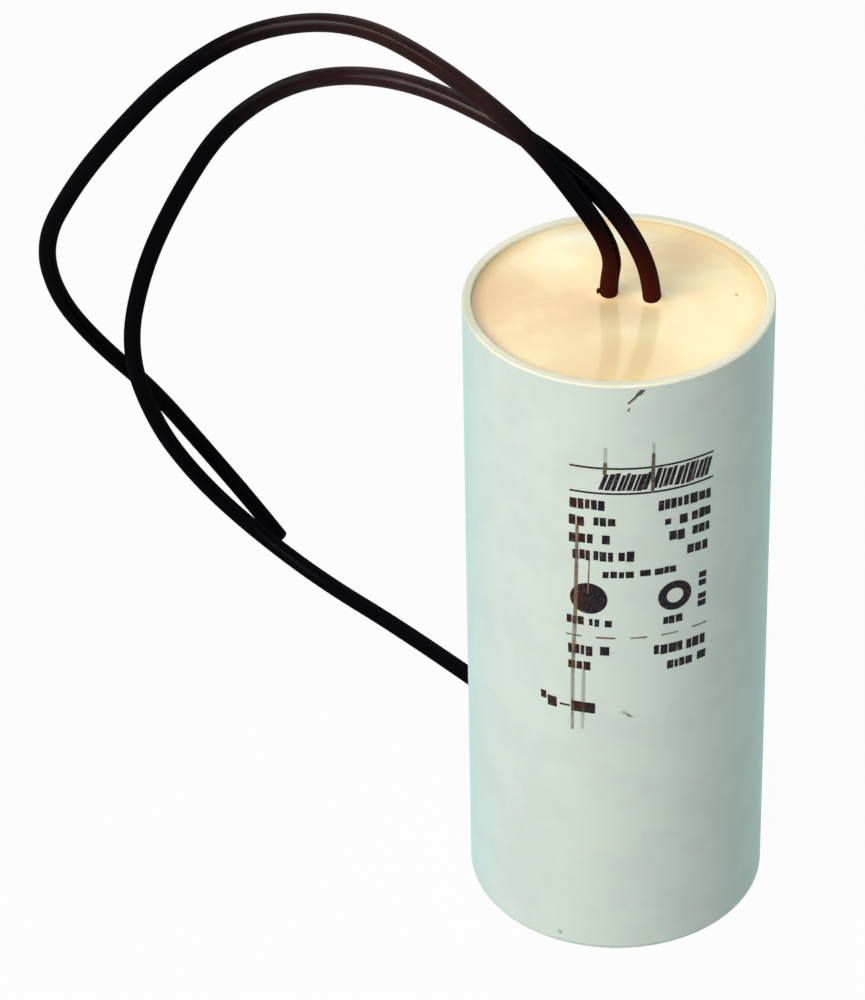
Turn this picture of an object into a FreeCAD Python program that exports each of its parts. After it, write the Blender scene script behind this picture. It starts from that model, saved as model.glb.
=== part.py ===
import FreeCAD, Part
import math
import os
import Sketcher

# A motor run capacitor: a round moulded can, potted with resin, with two stiff insulated leads.
# Millimetres, +Z up. The origin is the centre of the can's foot, on the surface it stands on.

Vector = FreeCAD.Vector

# Driving dimensions in millimetres: name, value
SIZES = (
    ("can_diameter", 40.0),
    ("can_height", 93.0),
    ("can_wall", 1.2),
    ("can_floor", 2.0),
    ("can_foot_radius", 1.0),
    ("can_inside_radius", 0.8),
    ("rim_radius", 0.25),
    ("rib_height", 3.0),
    ("rib_width", 1.2),
    ("rib_start", 12.0),
    ("rib_count", 4),
    ("resin_drop", 1.0),
    ("resin_cover", 10.8),
    ("meniscus_rise", 0.5),
    ("meniscus_reach", 1.3),
    ("collar_rise", 0.45),
    ("collar_reach", 0.55),
    ("collar_edge", 0.1),
    ("core_bore", 8.0),
    ("core_wall", 1.0),
    ("wrap_gap", 1.2),
    ("wrap_thickness", 0.3),
    ("spray_thickness", 0.6),
    ("lead_diameter", 2.4),
    ("conductor_diameter", 1.1),
    ("tail_gap", 0.3),
    ("solder_radius", 2.4),
    ("solder_height", 1.8),
    ("lead_1_exit_x", -1.3),
    ("lead_1_exit_y", 2.3),
    ("lead_1_tail", 9.0),
    ("lead_1_tail_direction", 135.0),
    ("lead_1_strip_height", 3.4),
    ("lead_1_lean_start", 2.2),
    ("lead_1_lean_end", 5.3),
    ("lead_2_exit_x", 4.5),
    ("lead_2_exit_y", 0.8),
    ("lead_2_tail", 6.2),
    ("lead_2_tail_direction", 13.0),
    ("lead_2_strip_height", 5.2),
)

# An arc takes this share of the shorter of the two runs that it joins
ARC_SHARE = 0.45

# Route of each lead above the resin: x and y from its exit, z from the resin's surface
LEAD_1_ARCH = (
    (0.0, 0.0, 1.0),
    (0.7, -3.1, 8.2),
    (-3.4, -5.3, 17.1),
    (-10.1, -3.7, 26.1),
    (-21.0, -1.1, 35.2),
    (-31.5, 1.4, 40.5),
    (-43.8, 3.4, 38.5),
    (-54.2, 5.9, 30.4),
    (-62.5, 11.3, 18.4),
    (-69.0, 21.7, 4.5),
    (-74.8, 33.1, -11.6),
)
LEAD_2_ARCH = (
    (0.0, 0.0, 1.0),
    (-1.8, -2.6, 9.5),
    (-6.6, -1.2, 16.7),
    (-16.5, 3.5, 23.2),
    (-30.7, 11.2, 27.0),
    (-43.7, 17.8, 23.8),
    (-54.5, 24.7, 13.0),
    (-62.0, 31.7, -3.0),
    (-67.9, 41.2, -21.0),
)

# Route of each lead down to the surface that the can stands on, from the origin
LEAD_1_FALL = (
    (-75.9, 47.6, 63.5),
    (-71.7, 59.4, 47.5),
    (-64.8, 68.5, 32.9),
    (-58.0, 73.5, 18.6),
    (-51.4, 75.0, 7.2),
    (-47.5, 75.0, 0.7),
)
LEAD_2_FALL = (
    (-66.9, 52.0, 51.0),
    (-64.4, 61.5, 32.0),
    (-59.7, 69.0, 17.3),
    (-52.5, 70.5, 7.0),
    (-41.5, 63.5, 1.25),
    (-28.5, 50.0, 1.25),
    (-17.5, 37.0, 1.25),
)

doc = FreeCAD.newDocument("MotorRunCapacitor")
sheet = doc.addObject("Spreadsheet::Sheet", "Sizes")
for row, (alias, number) in enumerate(SIZES, start=1):
    sheet.set("A%d" % row, alias)
    sheet.set("B%d" % row, str(number))
    sheet.setAlias("B%d" % row, alias)
doc.recompute()

# Lengths that follow from the driving dimensions
BORE = "(Sizes.can_diameter - 2 * Sizes.can_wall)"
MID_WALL = "((Sizes.can_diameter - Sizes.can_wall) / 2)"
LEVEL = "(Sizes.can_height - Sizes.resin_drop)"
SEAT = "(Sizes.can_floor + Sizes.rib_height)"
WINDING_TOP = "(%s - Sizes.resin_cover)" % LEVEL
CORE_OUTSIDE = "(Sizes.core_bore + 2 * Sizes.core_wall)"
WRAP_OUTSIDE = "(%s - 2 * Sizes.wrap_gap)" % BORE
WINDING_OUTSIDE = "(%s - 2 * Sizes.wrap_thickness)" % WRAP_OUTSIDE
WINDING_LENGTH = "(%s - %s)" % (WINDING_TOP, SEAT)
TAIL_OFFSET = "(Sizes.tail_gap + Sizes.conductor_diameter / 2)"


def value(expression):
    """Gives the number that an expression of the sheet's values comes to."""
    return float(sheet.evalExpression(expression))


def size(alias):
    """Gives one driving dimension."""
    return value("Sizes." + alias)


def make_body(name):
    """Starts one solid piece that is made of features."""
    body = doc.addObject("PartDesign::Body", name)
    body.Label = name
    return body


def make_sketch(body, name, role="XY_Plane", height=None):
    """Starts a sketch on one of the body's own planes, lifted by an expression."""
    plane = next(item for item in body.Origin.OriginFeatures if item.Role == role)
    sketch = body.newObject("Sketcher::SketchObject", name)
    sketch.AttachmentSupport = (plane, [""])
    sketch.MapMode = "FlatFace"
    if height:
        sketch.setExpression("AttachmentOffset.Base.z", height)
    return sketch


def bind(sketch, constraint, expression):
    """Adds a dimension to a sketch and ties it to an expression."""
    index = sketch.addConstraint(constraint)
    sketch.setExpression("Constraints[%d]" % index, expression)


def add_circle(sketch, diameter):
    """Draws a circle about the sketch's origin."""
    start = value(diameter)
    circle = sketch.addGeometry(Part.Circle(Vector(), Vector(0, 0, 1), start / 2))
    sketch.addConstraint(Sketcher.Constraint("Coincident", circle, 3, -1, 1))
    bind(sketch, Sketcher.Constraint("Diameter", circle, start), diameter)


def add_outline(sketch, corners, arc_after=None):
    """Draws a closed outline through corners given as pairs of expressions.

    The side after the corner arc_after is a hollow arc that ends level with the next side.
    """
    places = [Vector(value(x), value(y), 0) for x, y in corners]
    count = len(places)
    ends = [(1, 2)] * count
    for index, place in enumerate(places):
        following = places[(index + 1) % count]
        if index == arc_after:
            sketch.addGeometry(hollow_arc(following, place))
            ends[index] = (2, 1)
        else:
            sketch.addGeometry(Part.LineSegment(place, following))
    for index in range(count):
        following = (index + 1) % count
        kind = "Tangent" if index == arc_after else "Coincident"
        sketch.addConstraint(
            Sketcher.Constraint(kind, index, ends[index][1], following, ends[following][0]))
    for index, (x, y) in enumerate(corners):
        add_place(sketch, index, ends[index][0], places[index], x, y)


def hollow_arc(low, high):
    """Gives the arc that leaves a level line at its low end and climbs to its high end."""
    across = high.x - low.x
    rise = high.y - low.y
    radius = (across ** 2 + rise ** 2) / (2 * rise)
    centre = Vector(low.x, low.y + radius, 0)
    climb = math.atan2(across, radius - rise)
    circle = Part.Circle(centre, Vector(0, 0, 1), radius)
    return Part.ArcOfCircle(circle, -math.pi / 2, climb - math.pi / 2)


def add_place(sketch, edge, end, place, x, y):
    """Ties one corner of an outline to its distances from the sketch's axes."""
    for kind, number, expression in (("DistanceX", place.x, x), ("DistanceY", place.y, y)):
        if abs(number) < 1e-9:
            axis = -2 if kind == "DistanceX" else -1
            sketch.addConstraint(Sketcher.Constraint("PointOnObject", edge, end, axis))
        else:
            bind(sketch, Sketcher.Constraint(kind, -1, 1, edge, end, number), expression)


def add_pad(body, name, sketch, length):
    """Raises a sketch into a solid."""
    pad = body.newObject("PartDesign::Pad", name)
    pad.Profile = sketch
    pad.setExpression("Length", length)
    return pad


def ring_edges(feature, radius, height):
    """Names the round edges of a given radius at a given height."""
    names = []
    for number, edge in enumerate(feature.Shape.Edges, start=1):
        curve = edge.Curve
        if not isinstance(curve, Part.Circle):
            continue
        if abs(curve.Radius - radius) < 1e-4 and abs(curve.Center.z - height) < 1e-4:
            names.append("Edge%d" % number)
    return names


def add_fillet(body, name, base, places, radius):
    """Rounds the ring edges at the given radius and height pairs."""
    doc.recompute()
    names = [edge for place in places for edge in ring_edges(base, *place)]
    fillet = body.newObject("PartDesign::Fillet", name)
    fillet.Base = (base, names)
    fillet.setExpression("Radius", radius)
    doc.recompute()
    return fillet


def make_ring(name, inside, outside, bottom, height):
    """Makes an upright ring about the can's axis."""
    body = make_body(name)
    sketch = make_sketch(body, name + "_section", height=bottom)
    add_circle(sketch, outside)
    add_circle(sketch, inside)
    add_pad(body, name + "_pad", sketch, height)
    return body


# The can: a cup with a rounded foot, a softened rim and ribs that the winding stands on
can = make_body("can")
can_outline = make_sketch(can, "can_outline")
add_circle(can_outline, "Sizes.can_diameter")
can_blank = add_pad(can, "can_blank", can_outline, "Sizes.can_height")
can_mouth = make_sketch(can, "can_mouth", height="Sizes.can_floor")
add_circle(can_mouth, BORE)
can_cavity = can.newObject("PartDesign::Pocket", "can_cavity")
can_cavity.Profile = can_mouth
can_cavity.Reversed = True
can_cavity.setExpression("Length", "Sizes.can_height - Sizes.can_floor")
outside_radius = size("can_diameter") / 2
bore_radius = value(BORE) / 2
can_foot = add_fillet(can, "can_foot", can_cavity, [(outside_radius, 0.0)],
                      "Sizes.can_foot_radius")
can_corner = add_fillet(can, "can_corner", can_foot, [(bore_radius, size("can_floor"))],
                        "Sizes.can_inside_radius")
can_rim = add_fillet(can, "can_rim", can_corner,
                     [(outside_radius, size("can_height")), (bore_radius, size("can_height"))],
                     "Sizes.rim_radius")
rib_outline = make_sketch(can, "rib_outline", height="Sizes.can_floor")
add_outline(rib_outline, (
    ("Sizes.rib_start", "-Sizes.rib_width / 2"),
    (MID_WALL, "-Sizes.rib_width / 2"),
    (MID_WALL, "Sizes.rib_width / 2"),
    ("Sizes.rib_start", "Sizes.rib_width / 2"),
))
rib = add_pad(can, "rib", rib_outline, "Sizes.rib_height")
ribs = can.newObject("PartDesign::PolarPattern", "ribs")
ribs.Originals = [rib]
ribs.Axis = (rib_outline, ["N_Axis"])
ribs.Angle = 360
ribs.setExpression("Occurrences", "Sizes.rib_count")
can.Tip = ribs

# The winding on its core, the film wrapped round it and the metal sprayed on its two ends
core = make_ring("winding_core", "Sizes.core_bore", CORE_OUTSIDE, SEAT, WINDING_LENGTH)
wrap = make_ring("outer_wrap", WINDING_OUTSIDE, WRAP_OUTSIDE, SEAT, WINDING_LENGTH)
lower_spray = make_ring("lower_end_spray", CORE_OUTSIDE, WINDING_OUTSIDE, SEAT,
                        "Sizes.spray_thickness")
upper_spray = make_ring("upper_end_spray", CORE_OUTSIDE, WINDING_OUTSIDE,
                        "%s - Sizes.spray_thickness" % WINDING_TOP, "Sizes.spray_thickness")
winding = make_ring("winding", CORE_OUTSIDE, WINDING_OUTSIDE,
                    "%s + Sizes.spray_thickness" % SEAT,
                    "%s - 2 * Sizes.spray_thickness" % WINDING_LENGTH)


def rounded_path(points, title):
    """Joins straight runs with tangent arcs and prints the radius of each arc."""
    runs = [points[i + 1] - points[i] for i in range(len(points) - 1)]
    edges = []
    radii = []
    start = points[0]
    for index in range(1, len(points) - 1):
        before, after = runs[index - 1], runs[index]
        turn = before.getAngle(after)
        reach = ARC_SHARE * min(before.Length, after.Length)
        radius = reach / math.tan(turn / 2)
        arc_start = points[index] - before / before.Length * reach
        arc_end = points[index] + after / after.Length * reach
        inward = (arc_start + arc_end) / 2 - points[index]
        depth = radius * (1 / math.cos(turn / 2) - 1)
        arc_middle = points[index] + inward / inward.Length * depth
        edges.append(Part.LineSegment(start, arc_start).toShape())
        edges.append(Part.Arc(arc_start, arc_middle, arc_end).toShape())
        radii.append(radius)
        start = arc_end
    edges.append(Part.LineSegment(start, points[-1]).toShape())
    print(title, "arc radii:", " ".join("%.1f" % radius for radius in radii))
    return edges


def make_tube(name, edges, diameter):
    """Sweeps a disc along a path of runs and arcs and compares the volume."""
    path = doc.addObject("Part::Feature", name + "_path")
    path.Shape = Part.Wire(edges)
    section = doc.addObject("Part::Circle", name + "_section")
    section.setExpression("Radius", "%s / 2" % diameter)
    along = edges[0].tangentAt(edges[0].FirstParameter)
    section.Placement = FreeCAD.Placement(
        edges[0].valueAt(edges[0].FirstParameter), FreeCAD.Rotation(Vector(0, 0, 1), along))
    tube = doc.addObject("Part::Sweep", name)
    tube.Sections = [section]
    tube.Spine = (path, ["Edge%d" % (number + 1) for number in range(len(edges))])
    tube.Solid = True
    tube.Frenet = False
    doc.recompute()
    expected = math.pi * (value(diameter) / 2) ** 2 * path.Shape.Length
    print(name, "length %.1f volume ratio %.5f" % (path.Shape.Length,
                                                   tube.Shape.Volume / expected))
    return tube


def make_lead(name, tail_points, sheath_points):
    """Makes a bare tail and conductor in one piece, and the jacket round it."""
    tail_edges = rounded_path(tail_points, name + " tail")
    sheath_edges = rounded_path(sheath_points, name)
    conductor = make_tube(name + "_conductor", tail_edges + sheath_edges,
                          "Sizes.conductor_diameter")
    sheath = make_tube(name + "_sheath", sheath_edges, "Sizes.lead_diameter")
    jacket = doc.addObject("Part::Cut", name + "_jacket")
    jacket.Base = sheath
    jacket.Tool = conductor
    return conductor, sheath, jacket


def around(direction, distance):
    """Gives a level step of a named size in a named direction in degrees from +X."""
    angle = math.radians(size(direction))
    return Vector(size(distance) * math.cos(angle), size(distance) * math.sin(angle), 0)


def lead_route(exit_place, arch, fall):
    """Puts a lead's points above the resin and down to the surface in place."""
    return [exit_place + Vector(*point) for point in arch] + [Vector(*point) for point in fall]


# Lead 1: soldered to the lower end, up through the core and out through the resin
exit_1 = Vector(size("lead_1_exit_x"), size("lead_1_exit_y"), value(LEVEL))
foot_1 = Vector(0, 0, value("%s - %s" % (SEAT, TAIL_OFFSET)))
strip_1 = foot_1 + Vector(0, 0, size("lead_1_strip_height"))
joint_1 = foot_1 + around("lead_1_tail_direction", "lead_1_tail")
winding_top = value(WINDING_TOP)
lean_1 = [Vector(0, 0, winding_top - size("lead_1_lean_start")),
          Vector(exit_1.x, exit_1.y, winding_top + size("lead_1_lean_end"))]
conductor_1, sheath_1, jacket_1 = make_lead(
    "lead_1", [joint_1, foot_1, strip_1],
    [strip_1] + lean_1 + lead_route(exit_1, LEAD_1_ARCH, LEAD_1_FALL))

# Lead 2: soldered to the upper end and straight up out through the resin
exit_2 = Vector(size("lead_2_exit_x"), size("lead_2_exit_y"), value(LEVEL))
foot_2 = Vector(exit_2.x, exit_2.y, value("%s + %s" % (WINDING_TOP, TAIL_OFFSET)))
strip_2 = foot_2 + Vector(0, 0, size("lead_2_strip_height"))
joint_2 = foot_2 + around("lead_2_tail_direction", "lead_2_tail")
conductor_2, sheath_2, jacket_2 = make_lead(
    "lead_2", [joint_2, foot_2, strip_2],
    [strip_2] + lead_route(exit_2, LEAD_2_ARCH, LEAD_2_FALL))


def make_solder(name, joint, face, lowest, highest, conductor):
    """Makes a domed lump of solder on an end face, round the end of a bare tail."""
    lump = doc.addObject("Part::Ellipsoid", name + "_lump")
    lump.setExpression("Radius1", "Sizes.solder_height")
    lump.setExpression("Radius2", "Sizes.solder_radius")
    lump.setExpression("Radius3", "Sizes.solder_radius")
    lump.Angle1 = lowest
    lump.Angle2 = highest
    lump.Placement.Base = Vector(joint.x, joint.y, 0)
    lump.setExpression("Placement.Base.z", face)
    solder = doc.addObject("Part::Cut", name)
    solder.Base = lump
    solder.Tool = conductor
    return lump, solder


lower_lump, lower_solder = make_solder("lower_solder_joint", joint_1, SEAT, -90, 0, conductor_1)
upper_lump, upper_solder = make_solder("upper_solder_joint", joint_2, WINDING_TOP, 0, 90,
                                       conductor_2)

# The potting resin: fills the can round all of it, creeps up the wall and up each lead
resin_blank = make_body("resin_blank")
resin_section = make_sketch(resin_blank, "resin_section", role="XZ_Plane")
MENISCUS_TOP = "%s + Sizes.meniscus_rise" % LEVEL
add_outline(resin_section, (
    ("0", "Sizes.can_floor / 2"),
    (MID_WALL, "Sizes.can_floor / 2"),
    (MID_WALL, MENISCUS_TOP),
    ("%s / 2" % BORE, MENISCUS_TOP),
    ("%s / 2 - Sizes.meniscus_reach" % BORE, LEVEL),
    ("0", LEVEL),
), arc_after=3)
resin_turned = resin_blank.newObject("PartDesign::Revolution", "resin_turned")
resin_turned.Profile = resin_section
resin_turned.ReferenceAxis = (resin_section, ["V_Axis"])
resin_turned.Angle = 360


def make_collar(name, exit_place):
    """Makes the low cone of resin that creeps up a lead."""
    collar = doc.addObject("Part::Cone", name)
    collar.setExpression("Radius1", "Sizes.lead_diameter / 2 + Sizes.collar_reach")
    collar.setExpression("Radius2", "Sizes.lead_diameter / 2 + Sizes.collar_edge")
    collar.setExpression("Height", "Sizes.collar_rise + Sizes.resin_drop / 2")
    collar.Placement.Base = Vector(exit_place.x, exit_place.y, 0)
    collar.setExpression("Placement.Base.z", "%s - Sizes.resin_drop / 2" % LEVEL)
    return collar


resin_with_collars = doc.addObject("Part::MultiFuse", "resin_with_collars")
resin_with_collars.Shapes = [resin_blank, make_collar("collar_1", exit_1),
                             make_collar("collar_2", exit_2)]
resin_in_can = doc.addObject("Part::Cut", "resin_in_can")
resin_in_can.Base = resin_with_collars
resin_in_can.Tool = can
contents = doc.addObject("Part::MultiFuse", "contents")
contents.Shapes = [core, winding, wrap, lower_spray, upper_spray, lower_lump, upper_lump,
                   conductor_1, sheath_1, conductor_2, sheath_2]
resin = doc.addObject("Part::Cut", "potting_resin")
resin.Base = resin_in_can
resin.Tool = contents

PIECES = (can, resin, winding, core, wrap, upper_spray, lower_spray, upper_solder, lower_solder,
          jacket_1, conductor_1, jacket_2, conductor_2)

doc.recompute()
for item in doc.Objects:
    if "Invalid" in item.State or "Error" in item.State:
        raise RuntimeError("%s could not be made" % item.Label)
for piece in PIECES:
    if piece.Shape.isNull() or not piece.Shape.isValid():
        raise RuntimeError("%s has no sound shape" % piece.Label)

os.makedirs("parts", exist_ok=True)
for piece in PIECES:
    piece.Shape.exportStep("parts/%s.step" % piece.Label)
    print("%-20s %2d solid %10.2f mm3" % (piece.Label, len(piece.Shape.Solids),
                                          piece.Shape.Volume))
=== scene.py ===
"""Looks of a round potted motor run capacitor with two free leads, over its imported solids.

Everything is in metres, in the frame of the solids: +Z up, the can's axis on Z, its foot at zero.
The leads' routes and the places of the print and the wear are listed in millimetres.
"""

import logging
import math
from dataclasses import dataclass, field
from enum import Enum

import bpy
import numpy as np
from mathutils import Matrix, Vector


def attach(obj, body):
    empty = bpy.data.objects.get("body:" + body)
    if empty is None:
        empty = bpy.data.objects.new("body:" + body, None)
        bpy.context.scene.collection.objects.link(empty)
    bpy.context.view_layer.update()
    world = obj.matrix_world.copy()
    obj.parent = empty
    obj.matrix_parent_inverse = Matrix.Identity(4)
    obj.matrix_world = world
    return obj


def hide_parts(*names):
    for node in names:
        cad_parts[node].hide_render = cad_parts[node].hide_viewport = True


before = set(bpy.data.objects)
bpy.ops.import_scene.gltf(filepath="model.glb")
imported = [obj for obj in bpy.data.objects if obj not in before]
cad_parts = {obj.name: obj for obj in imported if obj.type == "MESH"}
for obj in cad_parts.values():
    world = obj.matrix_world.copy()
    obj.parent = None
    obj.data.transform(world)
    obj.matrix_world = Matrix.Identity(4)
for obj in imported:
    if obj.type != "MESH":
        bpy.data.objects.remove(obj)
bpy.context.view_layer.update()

logging.basicConfig(level=logging.INFO, format="%(message)s")
LOG = logging.getLogger("capacitor")

Point = tuple[float, float, float]
Colour = tuple[float, float, float]
Span = tuple[float, float]
Material = bpy.types.Material

MM = 0.001
TURN = 2.0 * math.pi
WHITE: Colour = (1.0, 1.0, 1.0)


class Slot(Enum):
    """The material slots that new pieces fill."""

    RESIN = "resin"
    INSULATION = "lead_insulation"
    COPPER = "tinned_copper"


def declare(piece: bpy.types.Object, slot: Slot, stands_for: str | None = None) -> None:
    """Attaches a new piece to the root, hides the solid that it stands for, and reports it with
    its slot.

    Args:
        piece: The piece.
        slot: The slot that its finish fills.
        stands_for: The solid that it takes the place of, if any.
    """
    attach(piece, "root")
    if stands_for is not None:
        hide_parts(stands_for)
    LOG.info("%s: dressed as %s", piece.name, slot.value)


def paint(red: float, green: float, blue: float) -> Colour:
    """Turns a screen colour from 0 to 255 into the linear colour that shaders take.

    Args:
        red: Red as a screen shows it.
        green: Green as a screen shows it.
        blue: Blue as a screen shows it.

    Returns:
        The same colour in linear light.
    """
    screen = np.array([red, green, blue]) / 255.0
    linear = np.where(screen <= 0.04045, screen / 12.92, ((screen + 0.055) / 1.055) ** 2.4)
    return tuple(float(part) for part in linear)


class Wire:
    """One socket of a material, so that shader maths reads as plain arithmetic."""

    def __init__(self, bench: "Finish", socket: bpy.types.NodeSocket) -> None:
        """Keeps the socket and the finish that it belongs to."""
        self.bench = bench
        self.socket = socket

    def maths(self, operation: str, *others: "Wire | float") -> "Wire":
        """Adds one Math node.

        Args:
            operation: The node's operation.
            others: The other values, in the order of the node's inputs.

        Returns:
            The result.
        """
        values = {index: value for index, value in enumerate((self, *others))}
        return self.bench.wire("ShaderNodeMath", {"operation": operation}, values)

    def __add__(self, other: "Wire | float") -> "Wire":
        """Adds."""
        return self.maths("ADD", other)

    __radd__ = __add__

    def __mul__(self, other: "Wire | float") -> "Wire":
        """Multiplies."""
        return self.maths("MULTIPLY", other)

    __rmul__ = __mul__

    def __sub__(self, other: "Wire | float") -> "Wire":
        """Takes the other value from this one."""
        return self.maths("SUBTRACT", other)

    def __rsub__(self, other: float) -> "Wire":
        """Takes this value from a number."""
        return (self * -1.0) + other

    def __truediv__(self, other: float) -> "Wire":
        """Divides by a number."""
        return self.maths("DIVIDE", other)

    def __pow__(self, other: float) -> "Wire":
        """Raises to a power."""
        return self.maths("POWER", other)

    def over(self, low: float, high: float) -> "Wire":
        """Gives 0 below low, 1 above high and a smooth climb between them.

        Args:
            low: Where the climb starts.
            high: Where it ends, which may be less than low for a fall.

        Returns:
            The climb, from 0 to 1.
        """
        settings = {"interpolation_type": "SMOOTHSTEP"}
        return self.bench.wire("ShaderNodeMapRange", settings,
                               {"Value": self, "From Min": low, "From Max": high})


def reach(aside: Wire, ahead: Wire) -> Wire:
    """Gives the root of the sum of the squares of two values."""
    return (aside ** 2.0 + ahead ** 2.0) ** 0.5


class Finish:
    """A material or a world under construction: its nodes are added through one method."""

    def __init__(self, owner: Material | bpy.types.World) -> None:
        """Empties the nodes of a new material or world."""
        owner.use_nodes = True
        self.owner = owner
        self.tree = owner.node_tree
        self.tree.nodes.clear()

    @classmethod
    def named(cls, name: str) -> "Finish":
        """Starts an empty material of that name."""
        return cls(bpy.data.materials.new(name))

    def node(self, kind: str, settings: dict | None = None,
             inputs: dict | None = None) -> bpy.types.Node:
        """Adds any node.

        Args:
            kind: The node's type.
            settings: Its properties, set before its inputs.
            inputs: Values or wires for its inputs, by name or number.

        Returns:
            The node.
        """
        made = self.tree.nodes.new(kind)
        for key, value in (settings or {}).items():
            setattr(made, key, value)
        for key, value in (inputs or {}).items():
            if isinstance(value, Wire):
                self.tree.links.new(value.socket, made.inputs[key])
            elif isinstance(value, tuple) and made.inputs[key].type == "RGBA":
                made.inputs[key].default_value = (*value, 1.0)
            else:
                made.inputs[key].default_value = value
        return made

    def wire(self, kind: str, settings: dict | None = None, inputs: dict | None = None,
             output: str | int = 0) -> Wire:
        """Adds any node and gives one of its outputs."""
        return Wire(self, self.node(kind, settings, inputs).outputs[output])

    def place(self) -> Wire:
        """Gives the position on the object, in metres."""
        return self.wire("ShaderNodeTexCoord", output="Object")

    def axes(self) -> tuple[Wire, Wire, Wire]:
        """Gives the three parts of the position on the object, in metres."""
        split = self.node("ShaderNodeSeparateXYZ", inputs={"Vector": self.place()})
        return tuple(Wire(self, split.outputs[index]) for index in range(3))

    def stretched(self, scale: Point) -> Wire:
        """Gives the position scaled along each axis."""
        inputs = {"Vector": self.place(), "Scale": scale}
        return self.wire("ShaderNodeMapping", {"vector_type": "POINT"}, inputs)

    def noise(self, size: float, detail: float = 3.0, roughness: float = 0.5,
              at: Wire | None = None) -> Wire:
        """Adds cloudy noise.

        Args:
            size: How large its patches are, in metres.
            detail: How many finer layers it has.
            roughness: How strong those are.
            at: The position to read, the object's own unless given.

        Returns:
            A value about one half.
        """
        return self.wire("ShaderNodeTexNoise", {"noise_dimensions": "3D"},
                         {"Vector": at or self.place(), "Scale": 1.0 / size, "Detail": detail,
                          "Roughness": roughness}, "Fac")

    def gloss(self, size: float, least: float, spread: float) -> Wire:
        """Gives a roughness that drifts with cloudy noise, from its least to a spread above it."""
        return self.noise(size) * spread + least

    def blend(self, base: Wire | Colour, *layers: tuple[Wire, Wire | Colour]) -> Wire:
        """Lays colours over a base, each as far as its share goes from 0 to 1.

        Args:
            base: The colour underneath.
            layers: The share and the colour of each layer, in the order that they are laid.

        Returns:
            The mixed colour.
        """
        settings = {"data_type": "RGBA", "blend_type": "MIX", "clamp_factor": True}
        for share, colour in layers:
            made = self.node("ShaderNodeMix", settings, {0: share, 6: base, 7: colour})
            base = Wire(self, made.outputs[2])
        return base

    def bump(self, height: Wire, depth: float, strength: float,
             normal: Wire | None = None) -> Wire:
        """Turns a height from 0 to 1 into a normal.

        Args:
            height: The height.
            depth: How deep a height of 1 is, in metres.
            strength: How much of it shows.
            normal: A normal that it is added to.

        Returns:
            The normal.
        """
        inputs = {"Height": height, "Distance": depth, "Strength": strength}
        if normal is not None:
            inputs["Normal"] = normal
        return self.wire("ShaderNodeBump", {}, inputs)

    def close(self, **inputs: Wire | Colour | float) -> Material:
        """Adds the surface shader and finishes the material.

        Args:
            inputs: Its inputs, with underscores for spaces.

        Returns:
            The material.
        """
        named = {key.replace("_", " "): value for key, value in inputs.items()}
        surface = self.wire("ShaderNodeBsdfPrincipled", {}, named)
        self.node("ShaderNodeOutputMaterial", {}, {"Surface": surface})
        return self.owner


@dataclass(frozen=True)
class CanPlastic:
    """Pale grey-green moulded plastic with a soft shine, creamy at its bare rim.

    The inside of the rim above the resin is tinted light brown, more strongly on the right.
    """

    body: Colour = paint(200, 210, 199)
    clouded: Colour = paint(196, 205, 195)
    yellowed: Colour = paint(204, 207, 189)
    speck: Colour = paint(140, 142, 128)
    rim: Colour = paint(224, 219, 195)
    dusky_rim: Colour = paint(206, 199, 172)
    inner_tint: Colour = paint(234, 214, 172)
    least_roughness: float = 0.36
    sheen: float = 0.5
    sheen_colour: Colour = (0.32, 0.95, 1.0)
    sheen_roughness: float = 0.4

    def make(self) -> Material:
        """Builds the material.

        Returns:
            The material.
        """
        finish = Finish.named("can_plastic")
        across, along, up = finish.axes()
        cloud = finish.noise(9 * MM, 4.0, 0.6).over(0.42, 0.62)
        tint = finish.noise(5 * MM, 2.0).over(0.58, 0.75) * 0.35
        grit = finish.noise(0.5 * MM, 1.0).over(0.8, 0.83) * 0.4
        inside = reach(across, along).over(19.1 * MM, 18.9 * MM) * up.over(91.4 * MM, 91.8 * MM)
        bare = up.over(92.62 * MM, 92.77 * MM).maths("MAXIMUM", inside)
        dusk = across.over(-15 * MM, -19.3 * MM) * along.over(-10 * MM, -5 * MM)
        # Light brown tint on the inside of the rim above the resin, stronger on the right.
        thickness = across.over(-2 * MM, 8 * MM) * 0.5 + 0.3
        film = inside * up.over(92.8 * MM, 92.5 * MM) * thickness
        rim = finish.blend(self.rim, (dusk, self.dusky_rim))
        base = finish.blend(self.body, (cloud, self.clouded), (tint, self.yellowed),
                            (grit, self.speck), (bare, rim), (film, self.inner_tint))
        drawn = finish.noise(1.0 * MM, at=finish.stretched((1.0, 1.0, 0.08)))
        skin = finish.bump(finish.noise(0.35 * MM, 2.0), 0.004 * MM, 0.5)
        skin = finish.bump(drawn, 0.012 * MM, 0.5, skin)
        return finish.close(Base_Color=base, Normal=skin,
                            Roughness=finish.gloss(2.2 * MM, self.least_roughness, 0.12),
                            Sheen_Weight=self.sheen, Sheen_Tint=self.sheen_colour,
                            Sheen_Roughness=self.sheen_roughness)


@dataclass(frozen=True)
class Cloud:
    """A soft oval patch of another tone: its middle, its half widths and its strength."""

    x: float
    y: float
    wide: float
    deep: float
    strength: float


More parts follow.
